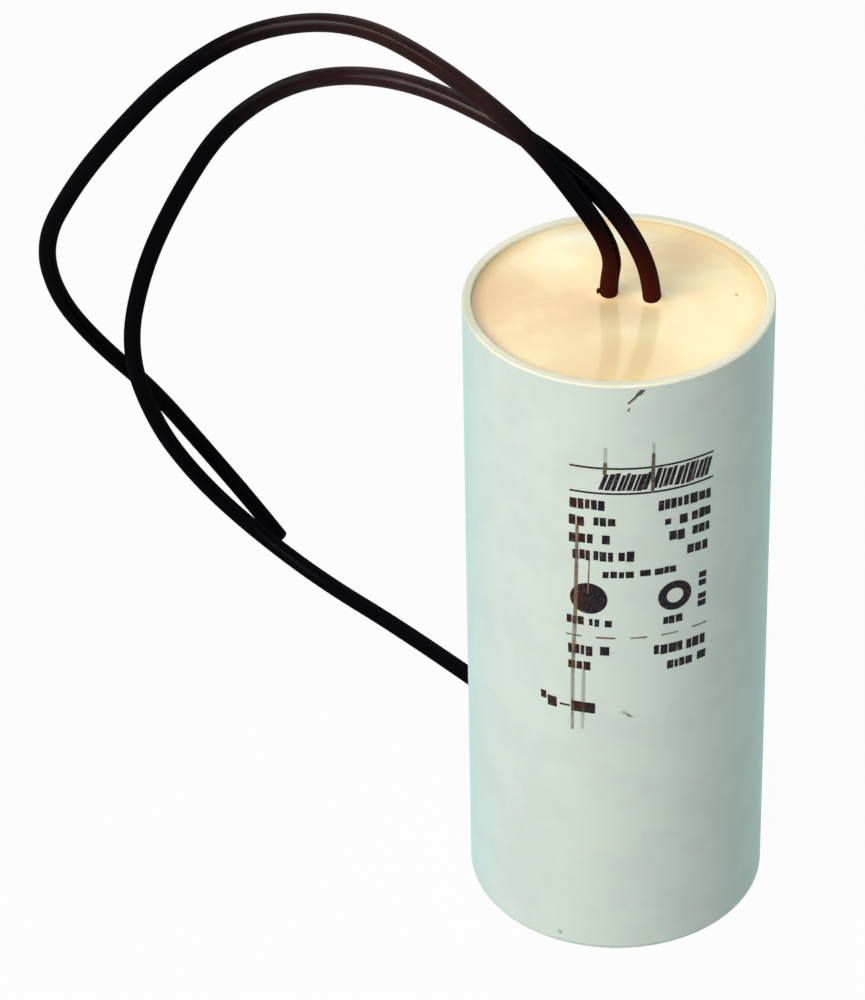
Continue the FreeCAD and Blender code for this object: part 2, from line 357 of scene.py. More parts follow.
@dataclass(frozen=True)
class Resin:
    """Cream potting resin with a wet shine, with painted shade at the wall and wide soft brownish
    clouds that are partly its own tone and partly painted shade.

    Smaller clouds along the far wall are painted highlights, paler than the rest, and one dark
    speck lies on the right. The painted shade at the wall is stronger on the two sides than at the
    front and the back.
    """

    body: Colour = paint(255, 236, 185)
    warm: Colour = paint(247, 217, 164)
    # Cloud tone: partly the resin's own tone, partly painted shade of the leads and the left wall.
    tan_and_shade: Colour = paint(226, 186, 133)
    # Painted highlight tone for the clouds along the far wall.
    pale: Colour = paint(255, 250, 222)
    # Painted shade tone along the wall.
    wall_shade: Colour = paint(212, 177, 127)
    dirt: Colour = paint(150, 120, 80)
    bore: float = 18.8 * MM
    # Clouds partly of the resin's own tone and partly painted shade: the first lies by the leads,
    # the second along the left wall.
    clouds: tuple[Cloud, ...] = (
        Cloud(-3 * MM, -0.8 * MM, 13 * MM, 7 * MM, 0.66),
        Cloud(-18 * MM, 4 * MM, 11 * MM, 12 * MM, 0.8),
        Cloud(9 * MM, 11.5 * MM, 7.5 * MM, 6 * MM, 0.7),
        Cloud(-2 * MM, -15 * MM, 12 * MM, 7 * MM, 0.28),
    )
    # Painted highlights along the far wall.
    highlight_clouds: tuple[Cloud, ...] = (
        Cloud(-3 * MM, 15.6 * MM, 10 * MM, 3.6 * MM, 0.8),
        Cloud(-9 * MM, 10.5 * MM, 6 * MM, 4 * MM, 0.35),
    )
    speck: Cloud = Cloud(15.1 * MM, 1.4 * MM, 0.3 * MM, 0.3 * MM, 0.8)

    def make(self) -> Material:
        """Builds the material.

        A cloud's oval is the root of the sum of the squares of both distances from its middle,
        each over its half width, made ragged by noise. The speck has a plain outline.

        Returns:
            The material.
        """
        finish = Finish.named("resin")
        across, along, _ = finish.axes()
        layers = [(finish.noise(14 * MM, 2.0).over(0.4, 0.62) * 0.7, self.warm)]
        ragged = (finish.noise(5 * MM) - 0.5) * 0.7
        # Clouds of the resin's own tone mixed with painted shade, then painted highlights along
        # the far wall.
        tones = [(cloud, self.tan_and_shade) for cloud in self.clouds]
        tones += [(cloud, self.pale) for cloud in self.highlight_clouds]
        for cloud, tone in tones:
            oval = reach((across - cloud.x) / cloud.wide, (along - cloud.y) / cloud.deep) + ragged
            layers.append((oval.over(1.2, 0.1) * cloud.strength, tone))
        # Painted shade along the wall, stronger on the two sides than at the front and the back.
        sideways = (across / self.bore) ** 2.0
        wall = reach(across, along).over(self.bore - 2.2 * MM, self.bore)
        grit = finish.noise(0.45 * MM, 1.0).over(0.79, 0.83) * 0.4
        speck = reach(across - self.speck.x, along - self.speck.y)
        speck = speck.over(self.speck.wide, 0.4 * self.speck.wide) * self.speck.strength
        layers += [(wall * (sideways * 0.5 + 0.22), self.wall_shade), (grit, self.dirt),
                   (speck, self.dirt)]
        swell = finish.bump(finish.noise(7 * MM, 2.0), 0.05 * MM, 0.5)
        return finish.close(Base_Color=finish.blend(self.body, *layers), Normal=swell, IOR=1.42,
                            Roughness=finish.gloss(4 * MM, 0.1, 0.06),
                            Subsurface_Weight=0.1, Subsurface_Radius=(0.8, 0.6, 0.35),
                            Subsurface_Scale=0.8 * MM)


@dataclass(frozen=True)
class LeadJacket:
    """Stiff black-brown plastic insulation, redder near the resin as painted bounce light from it,
    dull towards the far side.

    Its own surface is matt and a thin shine lies on it, which is worn away where it is dull. Over
    its loop it is red-brown, partly its own tone and partly a painted highlight.
    """

    body: Colour = paint(6, 5, 8)
    # Red-brown over the loop: partly the jacket's own tone, partly a painted highlight.
    highlit_arch: Colour = paint(38, 9, 6)
    # Red near the resin: painted bounce light from the resin.
    foot: Colour = paint(60, 11, 5)
    shine: float = 0.16
    foot_shine: float = 0.04
    dull: float = 0.012
    shine_index: float = 1.8
    shine_roughness: float = 0.18
    least_roughness: float = 0.49

    def make(self) -> Material:
        """Builds the material.

        Returns:
            The material.
        """
        finish = Finish.named("lead_insulation")
        across, _, up = finish.axes()
        kept = finish.noise(6 * MM, 4.0, 0.6).over(0.35, 0.7) * 0.3 + 0.7
        # Where the loop is red-brown, partly as a painted highlight, and where it shines.
        highlit_arch = (across.over(-54 * MM, -28 * MM) * across.over(-8 * MM, -18 * MM)
                * up.over(35 * MM, 75 * MM) * kept)
        # Near the resin: painted bounce light from the resin, and a little shine.
        foot = up.over(109 * MM, 95 * MM) * across.over(-12 * MM, -6 * MM)
        base = finish.blend(self.body, (highlit_arch, self.highlit_arch), (foot * 0.8, self.foot))
        shine = highlit_arch * (self.shine - self.dull) + foot * self.foot_shine + self.dull
        skin = finish.bump(finish.noise(0.5 * MM), 0.01 * MM, 0.4)
        return finish.close(Base_Color=base, Normal=skin, Specular_IOR_Level=0.0,
                            Roughness=finish.gloss(1.5 * MM, self.least_roughness, 0.12),
                            Coat_Weight=shine, Coat_Roughness=self.shine_roughness,
                            Coat_IOR=self.shine_index)


@dataclass(frozen=True)
class Ink:
    """Dark printing ink with small holes, browner towards the left of the print."""

    body: Colour = paint(22, 19, 25)
    brown: Colour = paint(50, 21, 14)
    thin: Colour = paint(62, 48, 44)

    def make(self) -> Material:
        """Builds the material.

        Returns:
            The material.
        """
        finish = Finish.named("print_ink")
        across, _, _ = finish.axes()
        left = across.over(-3.2 * MM, -7.0 * MM)
        worn = finish.noise(0.7 * MM, 3.0, 0.6).over(0.52, 0.66)
        hole = finish.noise(0.4 * MM, 2.0).over(0.5, 0.72) * 0.3
        base = finish.blend(self.body, (left, self.brown), (worn * 0.6, self.thin))
        return finish.close(Base_Color=base, Roughness=worn * 0.2 + 0.4, Alpha=1.0 - hole,
                            Specular_IOR_Level=0.12)


@dataclass(frozen=True)
class Stain:
    """A brown streak that the plastic shows through, fading in patches and towards the foot."""

    name: str
    body: Colour
    dark: Colour
    thinnest: float
    patchy: float
    upper: float = 0.0

    def make(self) -> Material:
        """Builds the material.

        Returns:
            The material.
        """
        finish = Finish.named(self.name)
        _, _, up = finish.axes()
        patch = finish.noise(4 * MM, 3.0, 0.6, finish.stretched((1.0, 1.0, 0.5)))
        cover = patch.over(0.3, 0.6) * self.patchy + self.thinnest
        cover = cover + up.over(55 * MM, 60 * MM) * self.upper
        tone = finish.noise(2 * MM, 2.0).over(0.4, 0.65)
        return finish.close(Base_Color=finish.blend(self.body, (tone, self.dark)),
                            Roughness=tone * 0.1 + 0.45, Alpha=cover)


@dataclass(frozen=True)
class PlainMatter:
    """A plain finish with a cloud, a relief and a gloss that follow the size of its grain."""

    name: str
    body: Colour
    shade: Colour
    grain: float
    relief: float
    least_roughness: float
    metallic: float = 0.0

    def make(self) -> Material:
        """Builds the material.

        Returns:
            The material.
        """
        finish = Finish.named(self.name)
        cloud = finish.noise(self.grain, 4.0, 0.6).over(0.35, 0.65)
        return finish.close(Base_Color=finish.blend(self.body, (cloud, self.shade)),
                            Roughness=finish.gloss(self.grain, self.least_roughness, 0.15),
                            Metallic=self.metallic,
                            Normal=finish.bump(finish.noise(self.grain), self.relief, 0.6))


BROWN_STAIN = Stain("streak_brown", paint(122, 100, 70), paint(86, 62, 46), 0.36, 0.4, 0.2)
FAINT_STAIN = Stain("streak_faint", paint(112, 110, 84), paint(96, 92, 72), 0.14, 0.18)
SCUFF_DIRT = PlainMatter("scuff_dark", paint(50, 42, 28), paint(90, 82, 60),
                         0.6 * MM, 0.01 * MM, 0.43)
COPPER = PlainMatter("tinned_copper", paint(206, 186, 168), paint(186, 160, 138),
                     0.3 * MM, 0.01 * MM, 0.23, 1.0)
FILM_ROLL = PlainMatter("film_roll", paint(176, 178, 182), paint(150, 153, 160),
                        3 * MM, 0.01 * MM, 0.23, 0.6)
CORE_PLASTIC = PlainMatter("core_plastic", paint(226, 226, 220), paint(212, 212, 204),
                           2 * MM, 0.01 * MM, 0.43)
WRAP_FILM = PlainMatter("wrap_film", paint(214, 214, 208), paint(198, 198, 190),
                        4 * MM, 0.01 * MM, 0.18)
SPRAYED_METAL = PlainMatter("sprayed_metal", paint(160, 162, 166), paint(132, 134, 138),
                            0.5 * MM, 0.06 * MM, 0.53, 0.8)
SOLDER = PlainMatter("solder", paint(196, 196, 200), paint(174, 174, 178),
                     0.8 * MM, 0.02 * MM, 0.23, 1.0)

SHOWN_SOLIDS = {
    "can": CanPlastic(),
    "winding": FILM_ROLL,
    "winding_core": CORE_PLASTIC,
    "outer_wrap": WRAP_FILM,
    "upper_end_spray": SPRAYED_METAL,
    "lower_end_spray": SPRAYED_METAL,
    "upper_solder_joint": SOLDER,
    "lower_solder_joint": SOLDER,
}


def dress_solids() -> None:
    """Gives each solid that is still shown its finish, and reports it."""
    made = {finish: finish.make() for finish in dict.fromkeys(SHOWN_SOLIDS.values())}
    for node, finish in SHOWN_SOLIDS.items():
        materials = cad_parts[node].data.materials
        materials.clear()
        materials.append(made[finish])
        LOG.info("%s: dressed", node)


def put_mesh(name: str, places: np.ndarray, faces: list, material: Material,
             smooth: bool = True) -> bpy.types.Object:
    """Makes a piece from its places and faces.

    Args:
        name: The piece's name.
        places: One row of x, y and z for each vertex, in metres.
        faces: Lists of vertex numbers, anticlockwise seen from outside.
        material: Its finish.
        smooth: Whether its faces are shaded as one rounded surface.

    Returns:
        The piece, at the origin.
    """
    mesh = bpy.data.meshes.new(name)
    mesh.from_pydata(places.tolist(), [], faces)
    mesh.polygons.foreach_set("use_smooth", np.full(len(mesh.polygons), smooth))
    mesh.materials.append(material)
    mesh.update()
    piece = bpy.data.objects.new(name, mesh)
    bpy.context.scene.collection.objects.link(piece)
    return piece


def grid_faces(rows: int, columns: int, first: int = 0, wrap_rows: bool = False,
               wrap_columns: bool = False) -> np.ndarray:
    """Joins a grid of vertices, numbered row by row, with four-sided faces.

    Face (i, j) takes the vertices (i, j), (i, j + 1), (i + 1, j + 1) and (i + 1, j), and an
    index past the last one starts again at zero where the grid wraps.

    Args:
        rows: Rows of vertices.
        columns: Vertices in each row.
        first: Number of the grid's first vertex.
        wrap_rows: Whether the last row joins the first.
        wrap_columns: Whether the last column joins the first.

    Returns:
        One row of four vertex numbers for each face.
    """
    i, j = np.meshgrid(np.arange(rows if wrap_rows else rows - 1),
                       np.arange(columns if wrap_columns else columns - 1), indexing="ij")
    i, j = i.ravel(), j.ravel()
    below, beside = (i + 1) % rows, (j + 1) % columns
    corners = (i * columns + j, i * columns + beside, below * columns + beside,
               below * columns + j)
    return first + np.stack(corners, axis=1)


def fan(pole: int, first: int, count: int) -> np.ndarray:
    """Joins a pole to a ring of vertices with three-sided faces.

    Args:
        pole: Number of the pole's vertex.
        first: Number of the ring's first vertex.
        count: Vertices in the ring.

    Returns:
        One row of three vertex numbers for each face.
    """
    here = np.arange(count)
    return np.stack((np.full(count, pole), first + here, first + (here + 1) % count), axis=1)


def arc(centre: Span, radius: float, start: float, end: float, steps: int) -> np.ndarray:
    """Gives points on an arc: the centre plus radius times the cosine and sine of the angle.

    Args:
        centre: The arc's centre in the profile's plane.
        radius: Its radius.
        start: Its first angle in degrees.
        end: Its last angle in degrees.
        steps: How many stretches it has.

    Returns:
        One row of r and z for each point.
    """
    angles = np.radians(np.linspace(start, end, steps + 1))
    return np.stack((centre[0] + radius * np.cos(angles),
                     centre[1] + radius * np.sin(angles)), axis=1)


def turned(profile: np.ndarray, sectors: int) -> np.ndarray:
    """Turns a profile about the can's axis.

    Each profile point (r, z) gives a ring of vertices (r cos a, r sin a, z) for even angles a.

    Args:
        profile: One row of r and z for each point.
        sectors: Vertices in each ring.

    Returns:
        Places, ring by ring.
    """
    angles = np.arange(sectors) * TURN / sectors
    radius, height = profile[:, :1], profile[:, 1:]
    rings = (radius * np.cos(angles), radius * np.sin(angles),
             np.broadcast_to(height, (len(profile), sectors)))
    return np.stack(rings, axis=-1).reshape(-1, 3)


@dataclass(frozen=True)
class PhotoCamera:
    """The camera of the photograph, found from the can's rim, foot and sides."""

    place: Point = (-24.1 * MM, -510.2 * MM, 433.7 * MM)
    pitch: float = 36.1
    yaw: float = -0.02
    roll: float = -1.27
    focal_pixels: float = 4813.2
    image_height: float = 1000.0
    sensor: float = 36.0

    def make(self) -> None:
        """Sets up the camera and makes it the scene's.

        Its forward axis is turned by yaw about Z and down by pitch, and roll turns the image.
        """
        pitch, yaw, roll = (math.radians(angle) for angle in (self.pitch, self.yaw, self.roll))
        forward = Vector((math.sin(yaw) * math.cos(pitch), math.cos(yaw) * math.cos(pitch),
                          -math.sin(pitch)))
        level = Vector((math.cos(yaw), -math.sin(yaw), 0.0))
        over = level.cross(forward)
        right = level * math.cos(roll) + over * math.sin(roll)
        up = over * math.cos(roll) - level * math.sin(roll)
        data = bpy.data.cameras.new("photo_camera")
        data.sensor_width = self.sensor
        data.lens = self.focal_pixels / self.image_height * self.sensor
        data.clip_start, data.clip_end = 0.01, 20.0
        camera = bpy.data.objects.new("photo_camera", data)
        turn = Matrix((right, up, -forward)).transposed().to_4x4()
        camera.matrix_world = Matrix.Translation(self.place) @ turn
        bpy.context.scene.collection.objects.link(camera)
        bpy.context.scene.camera = camera


@dataclass(frozen=True)
class Lead:
    """One stiff insulated lead: its jacket on a smooth route, and the strands at its cut end.

    Its route starts inside the resin, and its exit is where it leaves it, both in millimetres.
    """

    name: str
    route: tuple[Point, ...]
    exit: Point
    length: float
    diameter: float = 2.4 * MM
    strand: float = 0.36 * MM
    strand_pitch: float = 1.02
    strand_reach: float = 0.12 * MM
    strand_depth: float = 5.0 * MM
    strand_sides: int = 10
    outer_strands: int = 6

    def make(self, jacket: Material, copper: Material) -> None:
        """Args:
            jacket: The insulation's finish.
            copper: The strands' finish.
        """
        cord = bpy.data.objects.new(self.name, self.make_spline(self.diameter / 2))
        cord.data.materials.append(jacket)
        bpy.context.scene.collection.objects.link(cord)
        strands = self.make_strands(copper)
        declare(cord, Slot.INSULATION, self.name + "_jacket")
        declare(strands, Slot.COPPER, self.name + "_conductor")
        LOG.info("%s: %.0f mm free", self.name, self.length / MM)

    def make_spline(self, depth: float) -> bpy.types.Curve:
        """Makes the smooth curve of the route.

        Args:
            depth: The radius of its round section, or 0 for a bare line.

        Returns:
            The curve.
        """
        curve = bpy.data.curves.new(self.name, "CURVE")
        curve.dimensions = "3D"
        spline = curve.splines.new("NURBS")
        spline.points.add(len(self.route) - 1)
        for point, (x, y, z) in zip(spline.points, self.route):
            point.co = (x * MM, y * MM, z * MM, 1.0)
        spline.order_u = 3
        spline.use_endpoint_u = True
        curve.resolution_u = 16
        curve.bevel_depth = depth
        curve.bevel_resolution = 7
        curve.use_fill_caps = depth > 0.0
        return curve

    def last_stretch(self) -> np.ndarray:
        """Reads the end of the smooth route, as deep as the strands go.

        Returns:
            One row of x, y and z for each point, up to the cut end.
        """
        curve = self.make_spline(0.0)
        holder = bpy.data.objects.new(self.name + "_line", curve)
        mesh = bpy.data.meshes.new_from_object(holder)
        places = np.empty(len(mesh.vertices) * 3)
        mesh.vertices.foreach_get("co", places)
        bpy.data.objects.remove(holder)
        bpy.data.curves.remove(curve)
        bpy.data.meshes.remove(mesh)
        line = places.reshape(-1, 3)
        travel = np.linalg.norm(np.diff(line, axis=0), axis=1)[::-1].cumsum()
        return line[-int(np.searchsorted(travel, self.strand_depth)) - 2:]

    def make_strands(self, material: Material) -> bpy.types.Object:
        """Makes the strands that show in the cut end: six in a ring and one in the middle.

        Each strand is a closed tube along the last stretch of the route: a place on the route
        plus the strand's offset and its radius times the cosine and sine of the angle, in the
        plane across the route.

        Args:
            material: Their finish.

        Returns:
            The strands, as one piece.
        """
        line = self.last_stretch()
        along = np.gradient(line, axis=0)
        along /= np.linalg.norm(along, axis=1, keepdims=True)
        line[-1] += along[-1] * self.strand_reach
        side = np.cross(along, (0.0, 0.0, 1.0))
        side /= np.linalg.norm(side, axis=1, keepdims=True)
        upward = np.cross(side, along)
        sides, pitch = self.strand_sides, self.strand * self.strand_pitch
        angles = np.arange(sides) * TURN / sides
        ring = (np.cos(angles)[None, :, None] * side[:, None]
                + np.sin(angles)[None, :, None] * upward[:, None]) * self.strand / 2
        offsets = [pitch * (math.cos(spin) * side + math.sin(spin) * upward)
                   for spin in np.arange(self.outer_strands) * TURN / self.outer_strands]
        offsets.append(np.zeros_like(line))
        places, faces = [], []
        for number, offset in enumerate(offsets):
            first = number * len(line) * sides
            last = first + (len(line) - 1) * sides
            places.append(((line + offset)[:, None] + ring).reshape(-1, 3))
            faces += grid_faces(len(line), sides, first, wrap_columns=True)[:, ::-1].tolist()
            faces.append(list(range(first, first + sides)))
            faces.append(list(range(last + sides - 1, last - 1, -1)))
        return put_mesh(self.name + "_strands", np.concatenate(places), faces, material, False)


LEAD_1 = Lead(
    name="lead_1",
    route=(
        (-1.3, 2.3, 86.5), (-1.3, 2.3, 93.0), (-0.6, -0.8, 100.2), (-4.7, -3.0, 109.1),
        (-11.4, -1.4, 118.1), (-22.3, 1.2, 127.2), (-32.8, 3.7, 132.5), (-45.1, 5.7, 130.5),
        (-55.5, 8.2, 122.4), (-63.8, 13.6, 110.4), (-70.3, 24.0, 96.5), (-76.1, 35.4, 80.4),
        (-75.9, 47.6, 63.5), (-71.7, 59.4, 47.5), (-64.8, 68.5, 32.9), (-58.0, 73.5, 18.6),
        (-51.4, 75.0, 7.2), (-47.5, 75.0, 0.7),
    ),
    exit=(-1.3, 2.3, 92.0),
    length=232 * MM,
)

LEAD_2 = Lead(
    name="lead_2",
    route=(
        (4.5, 0.8, 87.25), (4.5, 0.8, 93.0), (2.7, -1.8, 101.5), (-2.1, -0.4, 108.7),
        (-12.0, 4.3, 115.2), (-26.2, 12.0, 119.0), (-39.2, 18.6, 115.8), (-50.0, 25.5, 105.0),
        (-57.5, 32.5, 89.0), (-63.4, 42.0, 71.0), (-66.9, 52.0, 51.0), (-64.4, 61.5, 32.0),
        (-59.7, 69.0, 17.3), (-52.5, 70.5, 7.0), (-41.5, 63.5, 1.25), (-28.5, 50.0, 1.25),
        (-17.5, 37.0, 1.25),
    ),
    exit=(4.5, 0.8, 92.0),
    length=241 * MM,
)


@dataclass(frozen=True)
class PottingResin:
    """The resin in the can: a flat pool that creeps up the wall and up the two leads.

    Its hollow holds the winding, and is given by two radii, its floor and its roof.
    """

    level: float = 92.0 * MM
    bore: float = 18.8 * MM
    bottom: float = 2.0 * MM
    corner: float = 0.8 * MM
    corner_steps: int = 6
    wall_rise: float = 0.5 * MM
    wall_reach: float = 1.3 * MM
    collar_rise: float = 0.7 * MM
    collar_fall: float = 0.5 * MM
    lead_radius: float = 1.2 * MM
    exits: tuple[Span, ...] = ((-1.3 * MM, 2.3 * MM), (4.5 * MM, 0.8 * MM))
    hollow: tuple[float, float, float, float] = (4.0 * MM, 17.6 * MM, 5.0 * MM, 81.2 * MM)
    rings: int = 150
    sectors: int = 384

    def height(self, x: np.ndarray, y: np.ndarray) -> np.ndarray:
        """Works out the pool's height.

        It is the level, plus an arc that climbs the wall over its last stretch, plus for each
        lead the collar's rise times the exponential of minus the distance from the lead's side
        over the collar's fall.

        Args:
            x: Distances along X.
            y: Distances along Y.

        Returns:
            Heights of the same shape.
        """
        span, rise = self.wall_reach, self.wall_rise
        curve = (span ** 2 + rise ** 2) / (2 * rise)
        near = np.clip(np.hypot(x, y) - (self.bore - span), 0.0, span)
        surface = self.level + curve - np.sqrt(curve ** 2 - near ** 2)
        for centre_x, centre_y in self.exits:
            gap = np.clip(np.hypot(x - centre_x, y - centre_y) - self.lead_radius, 0.0, None)
            surface = surface + self.collar_rise * np.exp(-gap / self.collar_fall)
        return surface

    def shell(self) -> tuple[np.ndarray, list]:
        """Works out the resin's outside: the pool, the side against the can and its foot.

        Its profile is turned about the can's axis, the pool is lifted to its height, and a pole
        closes each end.

        Returns:
            The places, ring by ring and then the two poles, and the faces.
        """
        spread = np.linspace(0.0, 1.0, self.rings + 1)[1:]
        pool = np.stack((self.bore * spread, np.zeros(self.rings)), axis=1)
        side = np.array(((self.bore, self.bottom + self.corner),))
        foot = arc((self.bore - self.corner, self.bottom + self.corner), self.corner, 0, -90,
                   self.corner_steps)
        profile = np.concatenate((pool, side, foot[1:]))
        places = turned(profile, self.sectors)
        pooled = self.rings * self.sectors
        places[:pooled, 2] = self.height(places[:pooled, 0], places[:pooled, 1])
        middle = self.height(np.zeros(1), np.zeros(1))[0]
        poles = np.array(((0.0, 0.0, middle), (0.0, 0.0, self.bottom)))
        top = len(places)
        faces = grid_faces(len(profile), self.sectors, wrap_columns=True)[:, ::-1].tolist()
        faces += fan(top, 0, self.sectors).tolist()
        faces += fan(top + 1, top - self.sectors, self.sectors)[:, ::-1].tolist()
        return np.concatenate((places, poles)), faces

    def make(self, material: Material) -> None:
        """Args:
            material: Its finish.
        """
        places, faces = self.shell()
        inner, outer, floor, roof = self.hollow
        section = np.array(((inner, floor), (outer, floor), (outer, roof), (inner, roof)))
        faces += grid_faces(len(section), self.sectors, len(places), wrap_rows=True,
                            wrap_columns=True).tolist()
        places = np.concatenate((places, turned(section, self.sectors)))
        declare(put_mesh("potting", places, faces, material), Slot.RESIN, "potting_resin")


@dataclass(frozen=True)
class Mark:
    """A level row of print: its ends round the can, its height and how tall it is, in mm.

    Pitch is about the width of one of its blocks, and lean is how far they stand to the right.
    """

    left: float
    right: float
    height: float
    tall: float
    pitch: float = 0.95
    lean: float = 0.0


@dataclass(frozen=True)
class Ring:
    """A round mark of print: its middle, its radius and that of the hole in it, in mm."""

    centre: float
    height: float
    radius: float
    hole: float


@dataclass(frozen=True)
class Stroke:
    """A thin streak on the can, through places round the can and up it, in mm.

    Tip is the width of its ends as a share of that of its middle.
    """

    path: tuple[Span, ...]
    width: float
    tip: float = 0.8


@dataclass
class CanFilm:
    """What lies on the can's side as a thin film.

    A place on the can is given by its distance round the can from the front, to the right,
    and by its height above the foot.
    """

    radius: float = 20.0 * MM
    film: float = 0.02 * MM
    sunk: float = 0.05 * MM
    block_step: float = 0.5
    ring_steps: int = 48
    ring_circles: int = 4
    stroke_stops: int = 24
    places: list[np.ndarray] = field(default_factory=list)
    faces: list[list[int]] = field(default_factory=list)
    count: int = 0

    def patch(self, s: np.ndarray, z: np.ndarray) -> None:
        """Lays a closed film over a grid on the can.

        A place at the distance s round the can and the height z is (r sin(s / R),
        -r cos(s / R), z), with r a film above the can's radius R outside and a little below it
        inside.

        Args:
            s: Distances round the can in millimetres, a grid.
            z: Heights in millimetres, a grid of the same shape.
        """
        rows, columns = s.shape
        angle = s * MM / self.radius
        for radius in (self.radius + self.film, self.radius - self.sunk):
            layer = (radius * np.sin(angle), -radius * np.cos(angle), z * MM)
            self.places.append(np.stack(layer, axis=-1).reshape(-1, 3))
        size, first = rows * columns, self.count
        self.faces += grid_faces(rows, columns, first).tolist()
        self.faces += grid_faces(rows, columns, first + size)[:, ::-1].tolist()
        index = np.arange(size).reshape(rows, columns) + first
        rim = np.concatenate((index[0], index[1:, -1], index[-1, -2::-1], index[-2:0:-1, 0]))
        beside = np.roll(rim, -1)
        self.faces += np.stack((beside, rim, rim + size, beside + size), axis=1).tolist()
        self.count += 2 * size

    def block(self, left: float, right: float, low: float, high: float,
              lean: float = 0.0) -> None:
        """Lays an upright block.

        Args:
            left: Its left side round the can, in millimetres.
            right: Its right side.
            low: The height of its foot.
            high: The height of its top.
            lean: How far its top stands to the right.
        """
        columns = max(2, int((right - left) / self.block_step) + 2)
        s, z = np.meshgrid(np.linspace(left, right, columns), np.array((low, high)))
        self.patch(s + np.array(((0.0,), (lean,))), z)

    def ring(self, ring: Ring) -> None:
        """Lays a round mark, as circles at even angles from its hole to its outline.

        Args:
            ring: The mark.
        """
        angle, away = np.meshgrid(np.arange(self.ring_steps + 1) * TURN / self.ring_steps,
                                  np.linspace(ring.hole, ring.radius, self.ring_circles))
        self.patch(ring.centre + away * np.cos(angle), ring.height + away * np.sin(angle))

    def stroke(self, stroke: Stroke) -> None:
        """Lays a streak.

        Its middle goes evenly through the stroke's places, and its half width is that at its
        tips plus the rest of it times the square root of the sine of pi times the share of the
        way.

        Args:
            stroke: The streak.
        """
        path = np.array(stroke.path)
        share = np.linspace(0.0, 1.0, self.stroke_stops)
        stops = np.linspace(0.0, 1.0, len(path))
        middle, height = np.interp(share, stops, path[:, 0]), np.interp(share, stops, path[:, 1])
        swell = stroke.tip + (1.0 - stroke.tip) * np.sqrt(np.clip(np.sin(math.pi * share), 0, 1))
        side = np.array((1.0, 0.0, -1.0)) * stroke.width / 2
        s = middle[:, None] + swell[:, None] * side[None, :]
        self.patch(s, np.broadcast_to(height[:, None], s.shape))

    def make(self, name: str, material: Material) -> None:
        """Builds, dresses and declares what has been laid, as one piece.

        Args:
            name: The piece's name.
            material: Its finish.
        """
        piece = put_mesh(name, np.concatenate(self.places), self.faces, material, False)
        declare(piece, Slot.INSULATION)


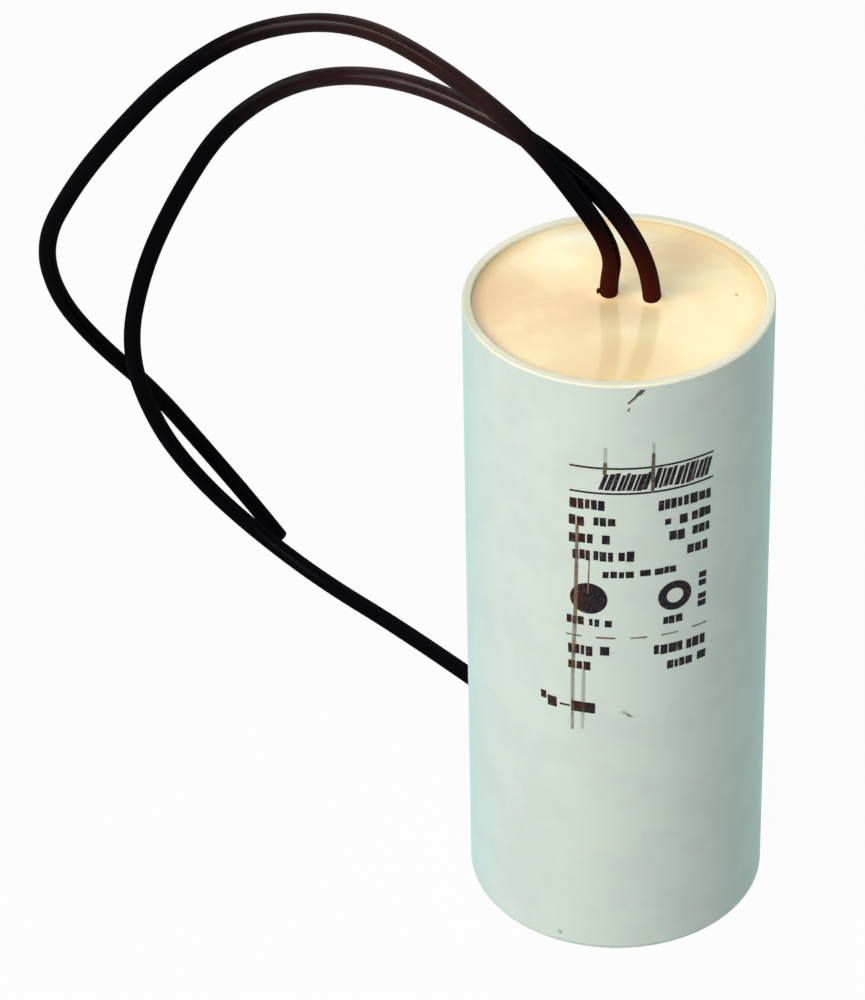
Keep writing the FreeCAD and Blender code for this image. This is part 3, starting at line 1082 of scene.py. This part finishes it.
@dataclass(frozen=True)
class Print:
    """Generic print: rows of small blocks, plain rules, a plain disc and a plain ring.

    The spans at its end say how uneven the blocks are: their widths, the gaps between them and
    their lean in millimetres, and how far they reach down and up as a share of the row.
    """

    seed: int = 7
    rows: tuple[Mark, ...] = (
        Mark(-3.4, 3.0, 78.3, 2.4, 0.72, 0.8), Mark(3.4, 11.2, 78.5, 2.7, 0.72, 0.8),
        Mark(-7.1, -2.4, 74.6, 1.4), Mark(4.3, 11.9, 74.2, 1.4),
        Mark(-7.2, -5.0, 71.9, 1.4), Mark(-4.0, -1.1, 72.0, 1.2),
        Mark(5.2, 6.0, 71.5, 0.9), Mark(7.2, 8.3, 71.5, 1.4), Mark(8.9, 11.8, 71.5, 1.3),
        Mark(-7.2, -3.9, 69.2, 1.4), Mark(-2.9, -1.9, 69.3, 1.3),
        Mark(5.8, 8.1, 69.1, 1.4), Mark(9.0, 11.7, 69.1, 1.3),
        Mark(-6.7, -4.3, 66.6, 1.4), Mark(-4.0, -1.3, 66.6, 1.4),
        Mark(-0.8, 1.4, 66.6, 1.4), Mark(8.3, 11.4, 66.3, 1.3),
        Mark(-2.8, 1.3, 63.7, 1.0), Mark(2.0, 3.4, 63.8, 0.9), Mark(3.9, 7.0, 63.8, 1.0),
        Mark(-7.5, -5.1, 56.0, 1.2), Mark(-4.5, -3.0, 55.9, 1.1),
        Mark(-2.5, -1.6, 55.8, 1.0), Mark(5.1, 8.0, 55.7, 1.1),
        Mark(-7.3, -3.9, 51.2, 1.4), Mark(-3.1, -1.9, 51.4, 1.3),
        Mark(3.9, 7.9, 51.1, 1.4), Mark(8.4, 11.3, 51.1, 1.4),
        Mark(-7.3, -4.2, 48.7, 1.2), Mark(5.7, 9.4, 48.4, 1.2), Mark(10.0, 11.3, 48.6, 1.3),
        Mark(10.1, 11.2, 61.6, 0.9, 1.2), Mark(10.1, 11.2, 60.3, 0.9, 1.2),
        Mark(10.0, 11.2, 58.2, 0.8, 1.2), Mark(10.0, 11.2, 57.0, 0.9, 1.2),
        Mark(-11.2, -10.4, 42.5, 1.1), Mark(-10.2, -8.9, 41.8, 1.5),
    )
    solids: tuple[Mark, ...] = (
        Mark(-7.1, 12.0, 80.4, 0.28), Mark(-7.1, 12.0, 76.5, 0.28),
        Mark(-8.5, -7.1, 41.7, 0.3), Mark(-6.9, -3.7, 41.8, 1.7),
    )
    dashes: tuple[Mark, ...] = (
        Mark(-7.6, -5.5, 53.5, 0.26), Mark(-3.6, -1.1, 53.5, 0.26), Mark(0.8, 3.0, 53.5, 0.26),
        Mark(4.9, 7.2, 53.5, 0.26), Mark(9.2, 11.4, 53.6, 0.26),
    )
    rings: tuple[Ring, ...] = (Ring(-4.6, 59.7, 2.45, 0.02), Ring(6.7, 59.5, 2.3, 1.15))
    widths: Span = (0.7, 1.3)
    gaps: Span = (0.08, 0.24)
    leans: Span = (-0.05, 0.05)
    reaches: Span = (0.46, 0.6)

    def lay_row(self, film: CanFilm, mark: Mark, draw: np.random.Generator) -> None:
        """Splits a row into upright blocks of uneven width, height and gap.

        Args:
            film: The film that they are laid in.
            mark: The row.
            draw: Where the uneven sizes are drawn from.
        """
        count = max(1, round((mark.right - mark.left) / mark.pitch))
        cuts = np.cumsum(draw.uniform(*self.widths, count))
        cuts = np.concatenate(((0.0,), cuts)) / cuts[-1] * (mark.right - mark.left) + mark.left
        for start, stop in zip(cuts[:-1], cuts[1:]):
            gap = draw.uniform(*self.gaps) if count > 1 else 0.0
            low, high = draw.uniform(*self.reaches, 2) * mark.tall
            film.block(start, stop - gap, mark.height - low, mark.height + high,
                       mark.lean + draw.uniform(*self.leans))

    def make(self, ink: Material, faint: Material) -> None:
        """Builds and dresses the print as one film, and its faint dashes as another.

        Args:
            ink: The print's finish.
            faint: The dashes' finish.
        """
        draw = np.random.default_rng(self.seed)
        film, pale = CanFilm(), CanFilm()
        for mark in self.rows:
            self.lay_row(film, mark, draw)
        for layer, marks in ((film, self.solids), (pale, self.dashes)):
            for mark in marks:
                layer.block(mark.left, mark.right, mark.height - mark.tall / 2,
                            mark.height + mark.tall / 2)
        for ring in self.rings:
            film.ring(ring)
        film.make("print", ink)
        pale.make("faint_dashes", faint)


@dataclass(frozen=True)
class Wear:
    """Brown and faint streaks that run down the print, and the dark scuffs on the can."""

    streaks: tuple[Stroke, ...] = (
        Stroke(((-6.1, 71.3), (-6.3, 58.7), (-6.7, 47.7), (-6.75, 37.9)), 0.5),
        Stroke(((-4.5, 66.1), (-4.7, 60.5)), 0.18),
    )
    faint: tuple[Stroke, ...] = (
        Stroke(((-5.2, 48.6), (-5.4, 38.2)), 0.5), Stroke(((-2.5, 83.6), (-2.5, 81.3)), 0.5),
        Stroke(((3.6, 84.1), (3.6, 82.5)), 0.4), Stroke(((-0.1, 41.5), (1.2, 40.45)), 0.7),
        Stroke(((-8.6, 2.5), (-8.4, 1.9)), 0.6),
    )
    scuffs: tuple[Stroke, ...] = (
        Stroke(((2.15, 92.35), (1.5, 91.55)), 0.75), Stroke(((1.5, 91.6), (0.3, 90.35)), 0.4),
        Stroke(((0.5, 89.7), (0.3, 89.2)), 0.2), Stroke(((0.5, 40.95), (0.9, 40.6)), 0.25),
        Stroke(((-2.5, 81.3), (-2.6, 79.4)), 0.5), Stroke(((3.6, 82.5), (3.5, 76.4)), 0.48),
    )
    streak_film: float = 0.04 * MM
    faint_film: float = 0.03 * MM
    scuff_film: float = 0.035 * MM

    def make(self, streak: Material, faint: Material, scuff: Material) -> None:
        """Builds and dresses the streaks, the faint ones and the scuffs, each as one film.

        Args:
            streak: The streaks' finish.
            faint: The faint streaks' finish.
            scuff: The scuffs' finish.
        """
        for name, strokes, material, thickness in (
                ("streaks", self.streaks, streak, self.streak_film),
                ("faint_streaks", self.faint, faint, self.faint_film),
                ("scuffs", self.scuffs, scuff, self.scuff_film)):
            film = CanFilm(film=thickness)
            for stroke in strokes:
                film.stroke(stroke)
            film.make(name, material)


@dataclass(frozen=True)
class Burr:
    """The small lump that stands out of lead 1's jacket, just above the resin."""

    centre: Point = (-2.5 * MM, 1.9 * MM, 92.7 * MM)
    radii: Point = (0.27 * MM, 0.3 * MM, 0.46 * MM)
    rings: int = 14
    sectors: int = 24

    def make(self, material: Material) -> None:
        """It is an ellipsoid: the centre plus each radius times the cosines and sines of a height
        angle and a turning angle, with a pole at its foot and one at its top.

        Args:
            material: Its finish.
        """
        rise = np.radians(np.linspace(-90, 90, self.rings + 2)[1:-1])
        profile = np.stack((np.cos(rise), np.sin(rise)), axis=1)
        unit = np.concatenate((turned(profile, self.sectors), ((0, 0, -1.0), (0, 0, 1.0))))
        foot = self.rings * self.sectors
        faces = grid_faces(self.rings, self.sectors, wrap_columns=True).tolist()
        faces += fan(foot, 0, self.sectors)[:, ::-1].tolist()
        faces += fan(foot + 1, foot - self.sectors, self.sectors).tolist()
        piece = put_mesh("jacket_burr", unit * self.radii + self.centre, faces, material)
        declare(piece, Slot.INSULATION)


@dataclass(frozen=True)
class Lamp:
    """A soft rectangular lamp: its place, its size, its power, its colour and what it faces."""

    name: str
    place: Point
    width: float
    height: float
    watts: float
    colour: Colour = WHITE
    aim: Point = (0.0, 0.0, 0.05)

    def hang(self) -> None:
        """Hangs the lamp, facing its aim."""
        data = bpy.data.lights.new(self.name, "AREA")
        data.shape = "RECTANGLE"
        data.size, data.size_y = self.width, self.height
        data.energy = self.watts
        data.color = self.colour
        lamp = bpy.data.objects.new(self.name, data)
        lamp.location = self.place
        lamp.rotation_mode = "QUATERNION"
        aim = Vector(self.aim) - Vector(self.place)
        lamp.rotation_quaternion = aim.to_track_quat("-Z", "Y")
        lamp.visible_camera = False
        bpy.context.scene.collection.objects.link(lamp)


EDGE_COLOUR: Colour = (0.64, 1.0, 0.98)


@dataclass(frozen=True)
class Studio:
    """A pale floor, a white surround and soft lamps.

    Floor lift is the share of plain white in the floor's look, and surround is the strength of
    the light from all round.
    """

    floor_half: float = 3.0
    floor_colour: Colour = (0.34, 0.34, 0.34)
    floor_lift: float = 0.96
    surround: float = 0.075
    lamps: tuple[Lamp, ...] = (
        Lamp("key_lamp", (-0.84, -0.9, 0.9), 1.3, 1.3, 19.5),
        Lamp("strip_lamp", (-0.4, -1.0, 1.0), 1.8, 0.07, 11.4),
        Lamp("back_lamp", (0.1, 1.1, 0.88), 2.0, 1.6, 9.6),
        Lamp("right_edge_lamp", (0.94, 0.13, 0.15), 0.7, 0.7, 2.6, EDGE_COLOUR),
        Lamp("left_edge_lamp", (-0.84, 0.45, 0.15), 0.7, 0.7, 2.6, EDGE_COLOUR),
    )

    def seen(self, finish: Finish) -> Wire:
        """Gives 1 for a look from the camera, a mirror or glass, and 0 for light.

        Args:
            finish: The material or world that asks.

        Returns:
            The value.
        """
        path = finish.node("ShaderNodeLightPath")
        rays = [Wire(finish, path.outputs[name])
                for name in ("Is Camera Ray", "Is Glossy Ray", "Is Transmission Ray")]
        return rays[0].maths("MAXIMUM", rays[1]).maths("MAXIMUM", rays[2])

    def make_floor(self) -> None:
        """Lays the floor: white to the eye, and it keeps the object's shadow."""
        finish = Finish.named("floor_white")
        diffuse = finish.wire("ShaderNodeBsdfDiffuse", {}, {"Color": self.floor_colour})
        white = finish.wire("ShaderNodeEmission", {}, {"Color": WHITE, "Strength": 1.0})
        mixed = finish.wire("ShaderNodeMixShader", {},
                            {0: self.seen(finish) * self.floor_lift, 1: diffuse, 2: white})
        finish.node("ShaderNodeOutputMaterial", {}, {"Surface": mixed})
        half = self.floor_half
        corners = np.array(((-half, -half, 0.0), (half, -half, 0.0), (half, half, 0.0),
                            (-half, half, 0.0)))
        put_mesh("floor", corners, [[0, 1, 2, 3]], finish.owner, False)

    def make_surround(self) -> None:
        """Sets the surround: white to the eye, and a dimmer white as light."""
        world = bpy.data.worlds.new("surround")
        bpy.context.scene.world = world
        finish = Finish(world)
        strength = self.seen(finish) * (1.0 - self.surround) + self.surround
        background = finish.wire("ShaderNodeBackground", {},
                                 {"Color": WHITE, "Strength": strength})
        finish.node("ShaderNodeOutputWorld", {}, {"Surface": background})

    def make(self) -> None:
        """Sets up the whole studio."""
        bpy.context.scene.view_settings.view_transform = "Standard"
        self.make_floor()
        self.make_surround()
        for lamp in self.lamps:
            lamp.hang()


def main() -> None:
    """Builds the camera, the leads, the resin, the print, the wear, the burr and the studio."""
    PhotoCamera().make()
    jacket = LeadJacket().make()
    copper = COPPER.make()
    LEAD_1.make(jacket, copper)
    LEAD_2.make(jacket, copper)
    PottingResin().make(Resin().make())
    stain = BROWN_STAIN.make()
    Print().make(Ink().make(), stain)
    Wear().make(stain, FAINT_STAIN.make(), SCUFF_DIRT.make())
    Burr().make(jacket)
    dress_solids()
    Studio().make()


if __name__ == "__main__":
    main()
